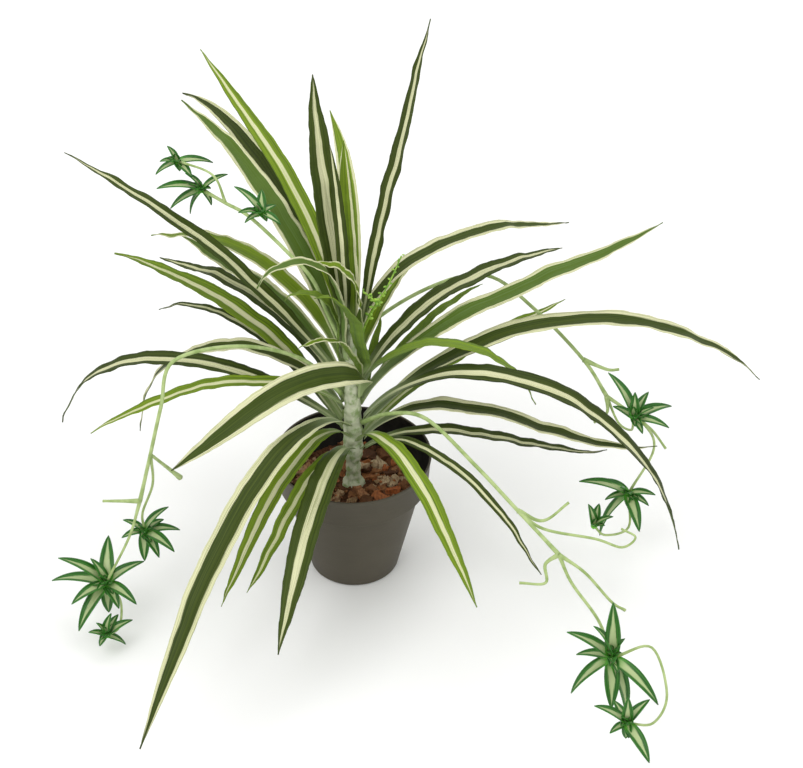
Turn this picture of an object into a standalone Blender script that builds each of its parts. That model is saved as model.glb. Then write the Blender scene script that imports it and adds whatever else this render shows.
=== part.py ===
"""Potted artificial spider plant at rest: pot, ballast, bark, stalk, ribbon leaves, runners and plantlets.

Metres, +Z up, +X to the viewer's right, -Y towards the front. The pot stands on z = 0 with its axis on Z.
"""

import math

import bmesh
import bpy
from mathutils import Vector

MM = 0.001

# Pot: radii and heights of the turned shell, in millimetres.
POT_HEIGHT = 113.0
RIM_RADIUS = 65.0
COLLAR_BOTTOM_HEIGHT = 86.0
COLLAR_BOTTOM_RADIUS = 62.5
SHOULDER_RADIUS = 57.0
BASE_RADIUS = 37.0
BASE_EDGE = 2.5
WALL = 1.8
FLOOR_THICKNESS = 3.0
POT_STEPS = 40
BALLAST_STEPS = 32
FIT_GAP = 0.4

# Filling: cast ballast in the lower pot and a bed of bark over it.
BALLAST_TOP = 68.0
BARK_TOP = 81.0
BARK_LUMP = 2.2
BARK_STEPS = 30
BARK_RING_RADII = (22, 34, 46)

# Stalk: it stands in a blind hole in the ballast and carries every leaf.
STALK_FOOT = 36.0
STALK_TOP = 240.0
STALK_LOW_RADIUS = 10.5
STALK_HIGH_RADIUS = 5.0
STALK_TAPER_FROM = 80.0
STALK_TAPER = (STALK_LOW_RADIUS - STALK_HIGH_RADIUS) / (STALK_TOP - STALK_TAPER_FROM)
STALK_STEPS = 20
STALK_WAIST_RADIUS = 6.8
STALK_WAIST_LOW = (84.0, 89.0)
STALK_WAIST_HIGH = (106.0, 117.0)

# Leaves: ribbons folded slightly along the middle. They leave the stalk one above another, closer low down.
LEAF_LOWEST = 120.0
LEAF_HIGHEST = 236.0
LEAF_CROWDING = 1.15
LEAF_THICKNESS = 0.8
LEAF_GAP = 0.8
LEAF_STEPS = 48
LEAF_ROWS = 12
LEAF_FOLD = 0.12
LEAF_BASE_SHARE = 0.32
LEAF_WIDEST_AT = 0.42
LEAF_TAPER_POWER = 2.6
ROLL_OVER = 0.25
LEAF_TIP_SHARE = 0.04
SWING_OVER = 0.3

# From the lowest leaf up, one a line: azimuth, length, the angles above level at the base, halfway and at the
# tip, the turn towards the tip, the swing at the base, the width and the roll. Degrees and mm.
LEAVES = [
    (0, 210, 40, -15, 0, 10, 0, 14, 0),
    (240, 170, 45, -25, -20, 0, 0, 14, 0),
    (320, 220, 55, -15, -50, 0, 0, 10, 0),
    (255, 230, 45, -20, -40, 0, 0, 22, 0),
    (35, 220, 40, 10, 5, 0, 0, 14, 0),
    (0, 260, 60, -20, 10, 0, 0, 18, 0),
    (300, 220, 60, -20, -40, 0, 0, 16, 0),
    (145, 220, 50, 15, -40, 0, 0, 10, 0),
    (240, 220, 55, -20, -40, 0, 0, 16, 0),
    (10, 390, 55, 0, -50, 0, 0, 22, 0),
    (175, 290, 40, 0, -80, -10, 0, 18, 0),
    (150, 250, 55, 20, -5, 0, 0, 20, 0),
    (240, 370, 50, -25, -40, 5, 0, 22, 0),
    (350, 370, 60, -25, -80, 0, 0, 22, 0),
    (60, 80, 60, 60, 70, 0, 0, 8, 0),
    (165, 260, 65, -20, -90, 0, 0, 16, 0),
    (40, 150, 50, 25, 0, 0, 0, 8, 0),
    (135, 240, 55, 5, -15, 5, 0, 16, 0),
    (190, 220, 45, -5, -30, 0, 0, 14, 0),
    (20, 290, 55, 15, 25, 0, 0, 20, 0),
    (135, 220, 60, 10, 0, 0, 0, 18, 0),
    (210, 220, 80, -10, -20, 0, 130, 22, -40),
    (35, 230, 65, 10, -10, 0, 0, 18, 0),
    (0, 190, 75, -10, -70, 0, 0, 12, 0),
    (155, 300, 50, 30, 10, -5, 0, 16, 0),
    (235, 120, 80, 50, 0, -10, 80, 10, 0),
    (120, 300, 60, 35, -10, 15, 0, 20, 0),
    (235, 130, 60, 70, 20, -20, 110, 14, 0),
    (140, 250, 70, 5, -30, 0, 0, 16, 0),
    (185, 110, 65, 75, -80, -20, 0, 10, 0),
    (55, 150, 65, 20, -35, 10, 0, 14, 0),
    (90, 250, 65, 20, 10, 15, 0, 16, 0),
    (135, 250, 65, 45, 20, 10, 0, 22, 0),
    (205, 160, 80, 65, -70, -5, 20, 14, 0),
    (120, 290, 80, 30, 30, 10, 0, 16, 0),
    (30, 240, 80, 5, -15, 0, 30, 16, 0),
    (35, 280, 80, 75, 75, 0, 0, 16, 0),
    (115, 220, 75, 70, 90, 0, 0, 22, 0),
    (105, 160, 80, 70, 75, -20, -20, 14, 0),
    (105, 160, 85, 75, 60, 5, 15, 10, 0),
    (180, 90, 80, 75, -30, 0, 165, 14, 0),
]

# Runners: the height at which each leaves the stalk, then its branches. A branch is its radius at the start,
# its radius at the end and a few points, in mm, that a smooth curve passes through. The first branch starts
# at the stalk.
ROUTE_STEPS = 3
WIRE_ROUNDNESS = 1
RUNNER_REACH = 18
RUNNERS = {
    "runner_left": (175, [
        (1.6, 1.5, [(-40, 0, 210), (-90, -10, 230), (-140, -30, 230), (-150, -50, 200), (-160, -60, 160),
                    (-170, -70, 120)]),
        (1.2, 1.0, [(-170, -70, 120), (-180, -80, 90), (-200, -100, 60)]),
        (1.1, 1.0, [(-160, -60, 160), (-160, -60, 130), (-170, -60, 100), (-170, -60, 90)]),
        (1.0, 2.0, [(-160, -60, 160), (-150, -50, 140), (-140, -40, 120)]),
        (1.6, 0.9, [(-170, -70, 120), (-190, -70, 120), (-200, -70, 120)]),
    ]),
    "runner_front": (150, [
        (1.7, 1.5, [(30, -20, 170), (60, -40, 180), (100, -90, 170), (130, -130, 160), (160, -170, 150)]),
        (1.3, 1.2, [(160, -170, 150), (170, -180, 130), (190, -200, 110), (200, -210, 90)]),
        (1.3, 1.0, [(160, -170, 150), (180, -180, 140), (200, -190, 120), (210, -200, 120)]),
        (1.6, 0.9, [(130, -130, 160), (150, -130, 150), (170, -120, 160)]),
        (1.3, 0.8, [(130, -130, 160), (150, -140, 150), (190, -140, 140), (210, -150, 140), (220, -150, 150),
                    (210, -140, 150)]),
        (1.6, 0.9, [(160, -170, 150), (150, -170, 140), (150, -180, 130), (130, -180, 130)]),
    ]),
    "runner_right": (190, [
        (1.6, 1.5, [(10, 40, 210), (60, 70, 230), (110, 90, 230), (150, 70, 210), (190, 40, 180),
                    (210, 30, 150)]),
        (1.2, 1.0, [(210, 30, 150), (240, 20, 130), (250, 10, 110), (240, 10, 80)]),
        (1.0, 1.0, [(210, 30, 150), (220, 20, 130), (230, 10, 130), (230, 10, 140)]),
        (1.7, 1.0, [(190, 40, 180), (210, 40, 170), (220, 40, 170)]),
        (1.6, 0.9, [(210, 30, 150), (210, 20, 140), (200, 20, 130)]),
        (1.4, 0.9, [(240, 20, 130), (250, 20, 120), (260, 10, 110)]),
    ]),
    "runner_back_left": (220, [
        (1.6, 1.4, [(-20, 10, 250), (-30, 10, 280), (-50, 20, 300), (-80, 40, 320), (-100, 60, 320),
                    (-110, 70, 320)]),
        (1.0, 0.9, [(-100, 60, 320), (-110, 70, 340), (-130, 80, 350)]),
        (1.4, 1.0, [(-80, 40, 320), (-80, 30, 320)]),
    ]),
}

# Plantlets: the centre, each leaflet's hour on a clock face and its length, then any stem it hangs by.
# The face leans back, so that the rosettes open upwards and to the front. The leaflets lean off it in turn.
FACE_TILT = 35
LEANS = (15, -20, 30, -5, 25, -30, 5)
PLANTLETS = {
    "plantlet_left_high": ((-170, -60, 80), [
        (1.5, 30), (3, 30), (4, 35), (6, 25), (8.5, 20), (2, 20), (5, 25), (10, 20)], []),
    "plantlet_left_low": ((-200, -90, 50), [
        (10, 45), (9, 50), (8, 35), (2, 35), (5, 25), (6, 30), (7, 45), (11, 25), (12, 40), (4, 35)], []),
    "plantlet_left_end": ((-200, -120, 20), [
        (12.5, 20), (1, 20), (11, 15), (2, 25), (9.5, 15), (4, 20), (7, 10)],
        [(-200, -90, 50), (-200, -80, 40), (-190, -90, 30), (-190, -110, 20)]),
    "plantlet_front_high": ((200, -220, 90), [
        (12, 45), (7.5, 45), (11, 35), (6, 40), (1, 20), (9, 30), (10, 40), (4.5, 50), (5.5, 50)], []),
    "plantlet_front_low": ((210, -260, 60), [
        (10, 30), (11, 20), (12, 25), (1.5, 25), (5, 35), (6, 15), (8, 15)],
        [(200, -220, 90), (230, -220, 100), (240, -250, 80), (230, -260, 60)]),
    "plantlet_right_high": ((230, 0, 150), [
        (11, 45), (10, 20), (12, 25), (1, 25), (2, 20), (2.5, 40), (3.5, 30), (5, 15)], []),
    "plantlet_right_low": ((230, 0, 70), [
        (9.5, 45), (10, 25), (3, 25), (8.5, 20), (5.5, 35), (7, 50), (4, 20)], []),
    "plantlet_back_near": ((-120, 80, 320), [(2, 25), (5, 15), (9, 40), (8, 30), (10.5, 20), (7, 25)], []),
    "plantlet_back_far": ((-140, 90, 340), [(11, 15), (3, 30), (9, 15), (8, 20), (4.5, 20)], []),
    "plantlet_back_side": ((-70, 30, 330), [(10.5, 30), (12, 20), (9, 20), (8, 15), (4, 20), (2, 15)], []),
}

# The small plantlet at the end of a stem from another plantlet, made in one piece with it.
DAUGHTERS = {
    "plantlet_right_low": ((200, -30, 60), [(11.5, 20), (0.5, 20), (2, 20)],
                           [(230, 0, 70), (230, -20, 50), (210, -30, 50)]),
}

PLANTLET_CORE = 2.6
LEAFLET_THICKNESS = 1.1
LEAFLET_BOW = 0.1
LEAFLET_WIDEST = 9.0
LEAFLET_NARROWEST = 3.5
LEAFLET_WIDTH_PER_LENGTH = 0.14
LEAFLET_OUTLINE = (0.35, 0.75, 1.0, 0.7, 0.12)
STEM_RADIUS = 1.0
STEM_GAP = 0.6

# Flower sprigs: one forked pick that starts beside the stalk, with beads along the upper part of each branch.
SPRIG_RADIUS = 1.1
SPRIG_END_RADIUS = 0.7
SPRIG_BEAD = 2.0
SPRIG_SWAY = 1.6
SPRIG_HEIGHT = 215
SPRIG_BRANCHES = [
    [(10, 0, 240), (20, -10, 270), (30, -10, 290), (40, 0, 310)],
    [(20, -10, 270), (20, -20, 280), (10, -20, 290)],
]

COLOURS = {
    "pot": (0.10, 0.09, 0.08),
    "ballast": (0.35, 0.34, 0.32),
    "bark_bed": (0.30, 0.13, 0.05),
    "stalk": (0.45, 0.55, 0.35),
    "leaf": (0.09, 0.18, 0.04),
    "runner": (0.50, 0.62, 0.25),
    "plantlet": (0.04, 0.22, 0.03),
    "flower": (0.20, 0.40, 0.06),
}


def clear_scene():
    for thing in list(bpy.data.objects):
        bpy.data.objects.remove(thing)


def new_collection(name, shown=True):
    made = bpy.data.collections.new(name)
    bpy.context.scene.collection.children.link(made)
    made.hide_render = not shown
    return made


def add_object(name, data, colour_name, owner):
    """An object in its collection with its own plain material."""
    made = bpy.data.objects.new(name, data)
    owner.objects.link(made)
    material = bpy.data.materials.new(name)
    material.use_nodes = True
    shader = material.node_tree.nodes["Principled BSDF"]
    shader.inputs["Base Color"].default_value = (*COLOURS[colour_name], 1.0)
    data.materials.append(material)
    return made


def smooth(data):
    for face in data.polygons:
        face.use_smooth = True


def turned(name, profile, colour_name, owner, steps):
    """A solid of revolution. The profile is (radius, height) in mm, from the outer top down to the axis."""
    data = bpy.data.meshes.new(name)
    points = [(radius * MM, 0, height * MM) for radius, height in profile]
    data.from_pydata(points, [(i, i + 1) for i in range(len(points) - 1)], [])
    made = add_object(name, data, colour_name, owner)
    screw = made.modifiers.new("turn", "SCREW")
    screw.steps = steps
    screw.render_steps = steps
    screw.use_merge_vertices = True
    screw.merge_threshold = 0.00005
    screw.use_smooth_shade = True
    return made


def stalk_radius(height):
    return STALK_LOW_RADIUS - STALK_TAPER * (height - STALK_TAPER_FROM)


def ribbon(name, centres, sides, ups, widths, fold, thickness, owner, colour_name):
    """A closed strip, thickened by Solidify: three points across where it folds in the middle, else two."""
    places = (-1, 0, 1) if fold else (-1, 1)
    mesh = bmesh.new()
    rows = []
    for centre, side, up, width in zip(centres, sides, ups, widths):
        row = []
        for across in places:
            lift = fold * width * (abs(across) - 0.5)
            row.append(mesh.verts.new((centre + side * (across * width / 2) + up * lift) * MM))
        rows.append(row)
    for low, high in zip(rows, rows[1:]):
        for i in range(len(places) - 1):
            mesh.faces.new((low[i], low[i + 1], high[i + 1], high[i]))
    data = bpy.data.meshes.new(name)
    mesh.to_mesh(data)
    mesh.free()
    made = add_object(name, data, colour_name, owner)
    solid = made.modifiers.new("thickness", "SOLIDIFY")
    solid.thickness = thickness * MM
    solid.offset = 0
    return made


def leaf_width(t, width):
    if t < LEAF_WIDEST_AT:
        rise = t / LEAF_WIDEST_AT
        return width * (LEAF_BASE_SHARE + (1 - LEAF_BASE_SHARE) * rise * rise * (3 - 2 * rise))
    fall = (t - LEAF_WIDEST_AT) / (1 - LEAF_WIDEST_AT)
    return width * max(1 - fall**LEAF_TAPER_POWER, LEAF_TIP_SHARE)


def leaf(name, height, azimuth, length, rise, middle, tip, turn, swing, width, roll, owner):
    """A ribbon that leaves the stalk at one height and bends evenly through its three angles."""

    def heading(t):
        return math.radians(azimuth + turn * t * t + swing * max(0, 1 - t / SWING_OVER) ** 2)

    def elevation(t):
        return math.radians(rise * (1 - t) * (1 - 2 * t) + middle * 4 * t * (1 - t) + tip * t * (2 * t - 1))

    def direction(t):
        level = math.cos(elevation(t))
        return Vector((level * math.cos(heading(t)), level * math.sin(heading(t)), math.sin(elevation(t))))

    start = stalk_radius(height) + LEAF_GAP
    base_angle = math.radians(azimuth + swing)
    point = Vector((start * math.cos(base_angle), start * math.sin(base_angle), height))
    points = [point]
    for i in range(LEAF_STEPS):
        point = point + direction((i + 0.5) / LEAF_STEPS) * (length / LEAF_STEPS)
        points.append(point)
    centres, sides, ups, widths = [], [], [], []
    for row in range(LEAF_ROWS + 1):
        t = row / LEAF_ROWS
        along = direction(t)
        side = Vector((-math.sin(heading(t)), math.cos(heading(t)), 0))
        up = along.cross(side)
        lean = math.radians(roll * min(1, t / ROLL_OVER))
        centres.append(points[row * LEAF_STEPS // LEAF_ROWS])
        sides.append(side * math.cos(lean) + up * math.sin(lean))
        ups.append(up * math.cos(lean) - side * math.sin(lean))
        widths.append(leaf_width(t, width))
    return ribbon(name, centres, sides, ups, widths, LEAF_FOLD, LEAF_THICKNESS, owner, "leaf")


def tube(name, points, start_radius, end_radius, owner, colour_name):
    """A tapering round wire with capped ends, as a closed mesh."""
    curve = bpy.data.curves.new(name, "CURVE")
    curve.dimensions = "3D"
    curve.bevel_depth = start_radius * MM
    curve.bevel_resolution = WIRE_ROUNDNESS
    curve.use_fill_caps = True
    line = curve.splines.new("POLY")
    line.points.add(len(points) - 1)
    for i, point in enumerate(points):
        share = i / (len(points) - 1)
        line.points[i].co = (*(Vector(point) * MM), 1)
        line.points[i].radius = 1 + share * (end_radius / start_radius - 1)
    wire = bpy.data.objects.new(name, curve)
    owner.objects.link(wire)
    data = bpy.data.meshes.new_from_object(wire.evaluated_get(bpy.context.evaluated_depsgraph_get()))
    bpy.data.objects.remove(wire)
    mesh = bmesh.new()
    mesh.from_mesh(data)
    bmesh.ops.remove_doubles(mesh, verts=mesh.verts, dist=1e-6)
    bmesh.ops.recalc_face_normals(mesh, faces=mesh.faces)
    mesh.to_mesh(data)
    mesh.free()
    smooth(data)
    return add_object(name, data, colour_name, owner)


def ball(name, centre, radius, owner, colour_name):
    data = bpy.data.meshes.new(name)
    mesh = bmesh.new()
    bmesh.ops.create_icosphere(mesh, subdivisions=1, radius=radius * MM)
    bmesh.ops.translate(mesh, verts=mesh.verts, vec=Vector(centre) * MM)
    mesh.to_mesh(data)
    mesh.free()
    smooth(data)
    return add_object(name, data, colour_name, owner)


def unite(body, others):
    """Body made one with the helpers, which are all closed meshes."""
    if not others:
        return
    union = body.modifiers.new("unite", "BOOLEAN")
    union.operation = "UNION"
    union.solver = "EXACT"
    union.use_self = True
    union.operand_type = "COLLECTION"
    union.collection = others


def smooth_route(points):
    """More points along a smooth curve (Catmull-Rom) that passes through the given ones."""
    given = [Vector(point) for point in points]
    padded = [given[0] * 2 - given[1], *given, given[-1] * 2 - given[-2]]
    route = []
    for before, start, end, after in zip(padded, padded[1:], padded[2:], padded[3:]):
        for step in range(ROUTE_STEPS):
            t = step / ROUTE_STEPS
            bend = (before * 2 - start * 5 + end * 4 - after) * t * t
            twist = (start * 3 - before - end * 3 + after) * t ** 3
            route.append((start * 2 + (end - before) * t + bend + twist) / 2)
    return [*route, given[-1]]


def just_outside(point, centre):
    """The point moved to just outside the core of the plantlet at the centre."""
    away = (Vector(point) - Vector(centre)).normalized()
    return Vector(centre) + away * (PLANTLET_CORE + STEM_GAP)


def leaflet(name, centre, hour, length, lean, owner):
    """A flat pointed strip from the centre, at an hour of the leaning clock face, bowed upwards a little."""
    tilt = math.radians(FACE_TILT)
    face_up = Vector((0, math.sin(tilt), math.cos(tilt)))
    face_out = Vector((0, -math.cos(tilt), math.sin(tilt)))
    angle = math.radians(hour * 30)
    off_face = math.radians(lean)
    on_face = Vector((1, 0, 0)) * math.sin(angle) + face_up * math.cos(angle)
    along = on_face * math.cos(off_face) + face_out * math.sin(off_face)
    side = along.cross(Vector((0, 0, 1))).normalized()
    up = side.cross(along).normalized()
    width = min(LEAFLET_WIDEST, LEAFLET_NARROWEST + LEAFLET_WIDTH_PER_LENGTH * length)
    rows = len(LEAFLET_OUTLINE)
    centres = []
    for row in range(rows):
        t = row / (rows - 1)
        bow = 4 * LEAFLET_BOW * length * t * (1 - t)
        centres.append(Vector(centre) + along * (length * t) + up * bow)
    widths = [width * share for share in LEAFLET_OUTLINE]
    return ribbon(name, centres, [side] * rows, [up] * rows, widths, 0, LEAFLET_THICKNESS, owner, "plantlet")


def rosette(name, centre, leaflets, helpers):
    for i, (hour, length) in enumerate(leaflets):
        leaflet(f"{name}_leaflet_{i}", centre, hour, length, LEANS[i % len(LEANS)], helpers)


def set_as_helpers(collection):
    for piece in collection.objects:
        piece.hide_render = True
        piece.display_type = "WIRE"


def plantlet(name, centre, leaflets, stem, owner):
    helpers = new_collection(name + "_pieces", shown=False)
    body = ball(name, centre, PLANTLET_CORE, owner, "plantlet")
    rosette(name, centre, leaflets, helpers)
    if stem:
        route = smooth_route([just_outside(stem[1], stem[0]), *stem[1:], centre])
        tube(name + "_stem", route, STEM_RADIUS, STEM_RADIUS, helpers, "runner")
    if name in DAUGHTERS:
        small, small_leaflets, small_stem = DAUGHTERS[name]
        ball(name + "_daughter", small, PLANTLET_CORE, helpers, "plantlet")
        route = smooth_route([*small_stem, small])
        tube(name + "_daughter_stem", route, STEM_RADIUS, STEM_RADIUS, helpers, "runner")
        rosette(name + "_daughter", small, small_leaflets, helpers)
    set_as_helpers(helpers)
    unite(body, helpers)
    return body


def at_stalk(height, towards, radius):
    """The point just clear of the stalk where a wire of this radius starts, facing the point it heads for."""
    run = math.hypot(towards[0], towards[1])
    rise = towards[2] - height
    steepness = abs(rise) / math.hypot(rise, run - stalk_radius(height))
    reach = (stalk_radius(height) + FIT_GAP + radius * steepness) / run
    return Vector((towards[0] * reach, towards[1] * reach, height))


def runner(name, height, branches, ends, owner):
    """A branching wire. A branch that ends near a plantlet's centre stops just outside its core."""
    helpers = new_collection(name + "_pieces", shown=False)
    pieces = []
    for i, (start_radius, end_radius, points) in enumerate(branches):
        for centre in ends:
            if (Vector(points[-1]) - Vector(centre)).length < RUNNER_REACH:
                points = [*points[:-1], just_outside(points[-1], centre)]
        if i == 0:
            points = [at_stalk(height, points[0], start_radius), *points]
        home = helpers if i else owner
        label = f"{name}_branch_{i}" if i else name
        pieces.append(tube(label, smooth_route(points), start_radius, end_radius, home, "runner"))
    set_as_helpers(helpers)
    unite(pieces[0], helpers)
    return pieces[0]


def pot_inner_radius(height):
    """The inside radius of the pot's body, in mm, below the collar."""
    share = height / COLLAR_BOTTOM_HEIGHT
    return BASE_RADIUS - WALL + share * (SHOULDER_RADIUS - BASE_RADIUS)


def build_pot(owner):
    profile = [
        (RIM_RADIUS - 0.6, POT_HEIGHT),
        (RIM_RADIUS, POT_HEIGHT - 1.2),
        (COLLAR_BOTTOM_RADIUS, COLLAR_BOTTOM_HEIGHT + 0.8),
        (COLLAR_BOTTOM_RADIUS - 0.8, COLLAR_BOTTOM_HEIGHT),
        (SHOULDER_RADIUS, COLLAR_BOTTOM_HEIGHT - 1.5),
        (BASE_RADIUS + 0.5, BASE_EDGE),
        (BASE_RADIUS - BASE_EDGE, 0),
        (0, 0),
    ]
    inside = [
        (0, FLOOR_THICKNESS),
        (pot_inner_radius(FLOOR_THICKNESS), FLOOR_THICKNESS),
        (pot_inner_radius(COLLAR_BOTTOM_HEIGHT - 1), COLLAR_BOTTOM_HEIGHT - 1),
        (COLLAR_BOTTOM_RADIUS - WALL, COLLAR_BOTTOM_HEIGHT + 1.5),
        (RIM_RADIUS - WALL, POT_HEIGHT),
    ]
    # The profile ends where it starts, at the lip, so the turned shell is closed.
    return turned("pot", profile + inside + profile[:1], "pot", owner, POT_STEPS)


def build_ballast(owner):
    low = FLOOR_THICKNESS + FIT_GAP
    hole = stalk_radius(BALLAST_TOP) + FIT_GAP
    foot = STALK_FOOT - FIT_GAP
    profile = [
        (hole, BALLAST_TOP),
        (pot_inner_radius(BALLAST_TOP) - FIT_GAP, BALLAST_TOP),
        (pot_inner_radius(low) - FIT_GAP, low),
        (0, low),
    ]
    upper = [(0, foot), (stalk_radius(STALK_FOOT) + FIT_GAP, foot), (hole, BALLAST_TOP)]
    return turned("ballast", profile + upper, "ballast", owner, BALLAST_STEPS)


def build_bark(owner):
    """A ring of bark with an uneven top, resting on the ballast."""
    rings = [
        (stalk_radius(BALLAST_TOP) + FIT_GAP, BALLAST_TOP + FIT_GAP, 0),
        (stalk_radius(BALLAST_TOP) + FIT_GAP, BARK_TOP, 1),
        *((radius, BARK_TOP, 1) for radius in BARK_RING_RADII),
        (pot_inner_radius(BARK_TOP) - 1.2, BARK_TOP - 1, 1),
        (pot_inner_radius(BALLAST_TOP) - FIT_GAP, BALLAST_TOP + FIT_GAP, 0),
    ]
    mesh = bmesh.new()
    columns = []
    for i in range(BARK_STEPS):
        angle = 2 * math.pi * i / BARK_STEPS
        column = []
        for k, (radius, height, lumpy) in enumerate(rings):
            lump = BARK_LUMP * math.sin(5 * angle + 2 * k) * math.cos(3 * angle - k) * lumpy
            place = Vector((radius * math.cos(angle), radius * math.sin(angle), height + lump))
            column.append(mesh.verts.new(place * MM))
        columns.append(column)
    for i in range(BARK_STEPS):
        here = columns[i]
        there = columns[(i + 1) % BARK_STEPS]
        for k in range(len(rings)):
            after = (k + 1) % len(rings)
            mesh.faces.new((here[k], here[after], there[after], there[k]))
    bmesh.ops.recalc_face_normals(mesh, faces=mesh.faces)
    data = bpy.data.meshes.new("bark_bed")
    mesh.to_mesh(data)
    mesh.free()
    smooth(data)
    return add_object("bark_bed", data, "bark_bed", owner)


def build_stalk(owner):
    """A tapering post with a waist between the bark and the lowest leaf."""
    low_end, low_start = STALK_WAIST_LOW
    high_start, high_end = STALK_WAIST_HIGH
    profile = [
        (0, STALK_TOP + 3),
        (STALK_HIGH_RADIUS * 0.7, STALK_TOP + 1.5),
        (STALK_HIGH_RADIUS, STALK_TOP - 1),
        (stalk_radius(160), 160),
        (stalk_radius(high_end), high_end),
        (STALK_WAIST_RADIUS, high_start),
        (STALK_WAIST_RADIUS, low_start),
        (stalk_radius(low_end), low_end),
        (stalk_radius(BALLAST_TOP), BALLAST_TOP),
        (stalk_radius(STALK_FOOT), STALK_FOOT),
        (0, STALK_FOOT),
    ]
    return turned("stalk", profile, "stalk", owner, STALK_STEPS)


def build_sprigs(owner):
    helpers = new_collection("flower_sprigs_pieces", shown=False)
    foot = at_stalk(SPRIG_HEIGHT, SPRIG_BRANCHES[0][0], SPRIG_RADIUS)
    body = tube("flower_sprigs", [foot, *SPRIG_BRANCHES[0]], SPRIG_RADIUS, SPRIG_END_RADIUS, owner, "flower")
    tube("flower_sprigs_fork", SPRIG_BRANCHES[1], SPRIG_RADIUS, SPRIG_END_RADIUS, helpers, "flower")
    for branch in SPRIG_BRANCHES:
        for low, high in zip(branch[1:], branch[2:] + branch[-1:]):
            for share, sway in ((0, SPRIG_SWAY), (0.5, -SPRIG_SWAY)):
                middle = Vector(low).lerp(Vector(high), share) + Vector((sway, 0, 1))
                ball(f"flower_sprigs_bead_{len(helpers.objects)}", middle, SPRIG_BEAD, helpers, "flower")
    set_as_helpers(helpers)
    unite(body, helpers)
    return body


clear_scene()
plant = new_collection("potted_spider_plant")
build_pot(plant)
build_ballast(plant)
build_bark(plant)
build_stalk(plant)
for number, values in enumerate(LEAVES):
    climb = (number / (len(LEAVES) - 1)) ** LEAF_CROWDING
    leaf_height = LEAF_LOWEST + (LEAF_HIGHEST - LEAF_LOWEST) * climb
    leaf(f"leaf_{number + 1:02d}", leaf_height, *values, plant)
plantlet_centres = [values[0] for values in PLANTLETS.values()]
for runner_name, (runner_height, branches) in RUNNERS.items():
    runner(runner_name, runner_height, branches, plantlet_centres, plant)
for plantlet_name, values in PLANTLETS.items():
    plantlet(plantlet_name, *values, plant)
build_sprigs(plant)
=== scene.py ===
import math

import bmesh
import bpy
from mathutils import Matrix, Vector


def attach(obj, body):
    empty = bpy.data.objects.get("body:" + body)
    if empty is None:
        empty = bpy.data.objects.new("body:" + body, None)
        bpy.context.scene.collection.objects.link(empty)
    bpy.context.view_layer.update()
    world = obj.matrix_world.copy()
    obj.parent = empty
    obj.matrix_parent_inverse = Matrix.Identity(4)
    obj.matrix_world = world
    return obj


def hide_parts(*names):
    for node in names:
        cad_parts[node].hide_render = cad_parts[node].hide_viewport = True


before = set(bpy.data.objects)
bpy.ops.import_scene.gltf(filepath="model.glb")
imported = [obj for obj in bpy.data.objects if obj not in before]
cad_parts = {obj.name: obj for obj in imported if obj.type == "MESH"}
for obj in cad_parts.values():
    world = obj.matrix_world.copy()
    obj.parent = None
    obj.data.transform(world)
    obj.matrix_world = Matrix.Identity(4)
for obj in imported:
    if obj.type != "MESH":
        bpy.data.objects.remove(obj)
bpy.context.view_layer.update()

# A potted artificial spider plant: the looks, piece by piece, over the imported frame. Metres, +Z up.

# ---- Pot -------------------------------------------------------------------------------------------------
# A round tapered nursery pot, injection moulded in matte taupe plastic, with a deep collar, a rolled lip and
# a faint moulding grain. It stands on its flat foot and holds the filling and the stalk.
MM = 0.001
POT_HEIGHT = 113.0
RIM_RADIUS = 65.0
COLLAR_BOTTOM = (62.5, 86.0)
SHOULDER_RADIUS = 57.0
BASE_RADIUS = 37.0
WALL = 1.8
LIP_ROLL = 0.9
POT_STEPS = 160
POT_TAUPE = (0.066, 0.058, 0.041)
POT_WORN = (0.082, 0.072, 0.052)
# Painted shade: the two near-black colours of the pot's inside, where its own shadow falls.
POT_SHADE = (0.010, 0.009, 0.008)
POT_SHADE_SPECKLE = (0.024, 0.021, 0.017)


def link(tree, value, socket):
    """Puts a value on a node's input, or links it there."""
    if isinstance(value, Field):
        value = value.socket
    if isinstance(value, bpy.types.NodeSocket):
        tree.links.new(value, socket)
    else:
        socket.default_value = value


def add_node(tree, kind, inputs=None, **settings):
    """A node with its settings made and its inputs filled, by name or by place."""
    made = tree.nodes.new(kind)
    for key, value in settings.items():
        setattr(made, key, value)
    for key, value in (inputs or {}).items():
        link(tree, value, made.inputs[key])
    return made


class Field:
    """A number in a node tree, which adds and multiplies as plain numbers do."""

    def __init__(self, tree, socket):
        self.tree = tree
        self.socket = socket

    def use(self, operation, *others):
        made = add_node(self.tree, "ShaderNodeMath", operation=operation)
        for value, socket in zip((self, *others), made.inputs):
            link(self.tree, value, socket)
        return Field(self.tree, made.outputs[0])

    def __add__(self, other):
        return self.use("ADD", other)

    def __sub__(self, other):
        return self.use("SUBTRACT", other)

    def __mul__(self, other):
        return self.use("MULTIPLY", other)

    def __rsub__(self, other):
        return (self * -1.0) + other

    def __pow__(self, other):
        return self.use("POWER", other)

    def __truediv__(self, other):
        return self.use("DIVIDE", other)

    __radd__ = __add__
    __rmul__ = __mul__

    def ramp(self, low, high, smooth=True):
        """0 below low, 1 above high."""
        made = add_node(self.tree, "ShaderNodeMapRange", {0: self, 1: low, 2: high})
        made.interpolation_type = "SMOOTHSTEP" if smooth else "LINEAR"
        return Field(self.tree, made.outputs[0])


def noise(tree, where, scale, detail=2.0, roughness=0.5):
    made = add_node(tree, "ShaderNodeTexNoise", {"Vector": where, "Scale": scale, "Detail": detail})
    made.inputs["Roughness"].default_value = roughness
    return Field(tree, made.outputs[0])


def mix_colour(tree, share, first, second):
    made = add_node(tree, "ShaderNodeMix", data_type="RGBA")
    sockets = [socket for socket in made.inputs if socket.enabled]
    for value, socket in zip((share, first, second), sockets):
        if isinstance(value, tuple):
            value = (*value, 1.0)
        link(tree, value, socket)
    return [socket for socket in made.outputs if socket.enabled][0]


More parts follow.
